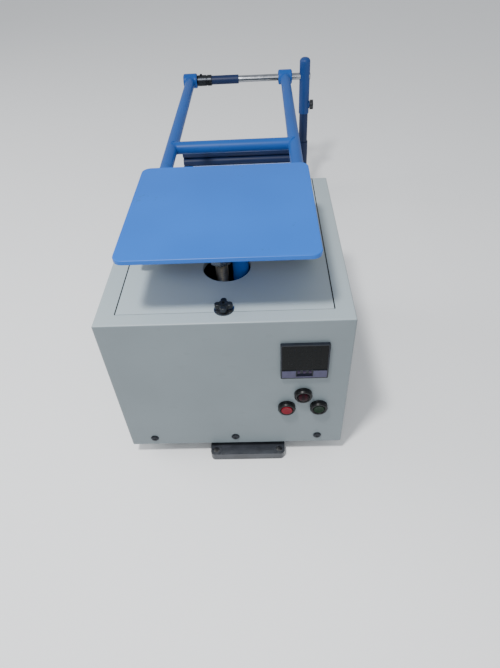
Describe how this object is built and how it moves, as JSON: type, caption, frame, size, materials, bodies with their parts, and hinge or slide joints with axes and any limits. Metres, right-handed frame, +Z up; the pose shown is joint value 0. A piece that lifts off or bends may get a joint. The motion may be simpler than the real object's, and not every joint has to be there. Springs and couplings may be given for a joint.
{
  "type": "cement mortar jolting table",
  "caption": "Motor-driven jolting table: a table on two hinged tube arms is lifted by a cam and dropped on a stop in a cabinet.",
  "frame": {"origin": "on the floor, on the underside of the base casting, below the middle of the table", "axes": "+Z up, +Y from the front panel to the spindle, +X to the operator's right"},
  "size_m": [0.404, 0.9649, 0.425],
  "materials": {
    "case_paint": "fine satin powder coat, pale green-grey",
    "table_paint": "satin blue enamel",
    "stand_paint": "glossy dark blue enamel",
    "base_iron": "painted casting",
    "rail_paint": "dark grey enamel",
    "ground_steel": "ground and polished bar",
    "machined_steel": "turned and milled steel",
    "dark_steel": "blackened steel",
    "black_plastic": "moulded phenolic",
    "bezel_plastic": "grey-blue moulded ABS",
    "window_plastic": "smoked window",
    "red_cap": "moulded red cap",
    "green_cap": "moulded green cap",
    "lamp_red": "unlit red lens",
    "key_plastic": "light grey keys",
    "motor_paint": "cast aluminium, grey paint",
    "bronze": "cast bronze"
  },
  "bodies": {
    "frame": {"base_casting": "base_iron", "base_rails": "rail_paint", "rear_rail": "rail_paint", "stand_post": "stand_paint", "post_sleeve": "stand_paint", "stand_leg": "stand_paint", "stand_bar": "stand_paint", "stand_lower_bar": "stand_paint", "spindle": "ground_steel", "spindle_collar": "dark_steel", "floor_pan": "case_paint", "front_panel": "case_paint", "right_side_panel": "case_paint", "left_side_panel": "case_paint", "rear_panel": "case_paint", "top_cover": "case_paint", "case_screws": "dark_steel", "knob_washer": "machined_steel", "control_bezels": "black_plastic", "control_bodies": "black_plastic", "lamp_lens": "lamp_red", "counter_bezel": "bezel_plastic", "counter_window": "window_plastic", "counter_case": "black_plastic", "stop_column": "base_iron", "stop_anvil": "machined_steel", "anvil_nut": "machined_steel", "drive_bracket": "rail_paint", "shaft_bearing": "base_iron", "gearbox_housing": "motor_paint", "motor_housing": "motor_paint", "fan_cowl": "motor_paint", "count_sensor": "machined_steel", "contactor": "black_plastic", "power_inlet": "black_plastic"},
    "drive": {"cam": "machined_steel", "camshaft": "ground_steel", "worm_wheel": "bronze"},
    "rotor": {"motor_rotor": "machined_steel"},
    "table": {"table_plate": "table_paint", "table_bearers": "table_paint", "table_screws": "dark_steel", "left_arm": "table_paint", "right_arm": "table_paint", "arm_bearings": "machined_steel", "crosshead": "table_paint", "crossbar": "table_paint", "lug_stem": "machined_steel", "lug_nut": "machined_steel", "follower_fork": "table_paint", "roller_pin": "machined_steel"},
    "roller": {"follower_roller": "machined_steel"},
    "stop_button": {"stop_button": "red_cap"},
    "start_button": {"start_button": "green_cap"},
    "key_1": {"counter_key_1": "key_plastic"},
    "key_2": {"counter_key_2": "key_plastic"},
    "key_3": {"counter_key_3": "key_plastic"},
    "cover_knob": {"cover_knob": "black_plastic"},
    "clamp_knob": {"clamp_knob": "black_plastic"},
    "power_rocker": {"power_rocker": "black_plastic"}
  },
  "joints": [
    {"name": "motor_turn", "type": "hinge", "parent": "frame", "child": "rotor", "pos_m": [0.103, 0, 0.166], "axis": [0, 1, 0], "range_deg": [0, 7920]},
    {"name": "cam_turn", "type": "hinge", "parent": "frame", "child": "drive", "pos_m": [0.022, 0, 0.12], "axis": [1, 0, 0], "range_deg": [0, 330.01]},
    {"name": "table_lift", "type": "hinge", "parent": "frame", "child": "table", "pos_m": [0, 0.8, 0.351], "axis": [-1, 0, 0], "range_deg": [0, 1.07]},
    {"name": "roller_spin", "type": "hinge", "parent": "table", "child": "roller", "pos_m": [0.022, 0, 0.1703], "axis": [1, 0, 0], "continuous": true},
    {"name": "stop_press", "type": "slide", "parent": "frame", "child": "stop_button", "axis": [0, 1, 0], "range_m": [0, 0.0035], "stiffness_N_per_m": 300},
    {"name": "start_press", "type": "slide", "parent": "frame", "child": "start_button", "axis": [0, 1, 0], "range_m": [0, 0.0035], "stiffness_N_per_m": 300},
    {"name": "key_1_press", "type": "slide", "parent": "frame", "child": "key_1", "axis": [0, 1, 0], "range_m": [0, 0.001], "stiffness_N_per_m": 200},
    {"name": "key_2_press", "type": "slide", "parent": "frame", "child": "key_2", "axis": [0, 1, 0], "range_m": [0, 0.001], "stiffness_N_per_m": 200},
    {"name": "key_3_press", "type": "slide", "parent": "frame", "child": "key_3", "axis": [0, 1, 0], "range_m": [0, 0.001], "stiffness_N_per_m": 200},
    {"name": "cover_knob_turn", "type": "hinge", "parent": "frame", "child": "cover_knob", "pos_m": [0, -0.102, 0.32], "axis": [0, 0, 1], "continuous": true},
    {"name": "clamp_knob_turn", "type": "hinge", "parent": "frame", "child": "clamp_knob", "pos_m": [0.205, 0.8, 0.277], "axis": [1, 0, 0], "continuous": true},
    {"name": "power_switch", "type": "hinge", "parent": "frame", "child": "power_rocker", "pos_m": [-0.125, 0.283, 0.10175], "axis": [1, 0, 0], "range_deg": [0, 14]}
  ],
  "couplings": [
    {"joint": "cam_turn", "follows": "motor_turn", "ratio": 0.041667},
    {"joint": "table_lift", "follows": "motor_turn", "ratio": 0.00013564}
  ]
}
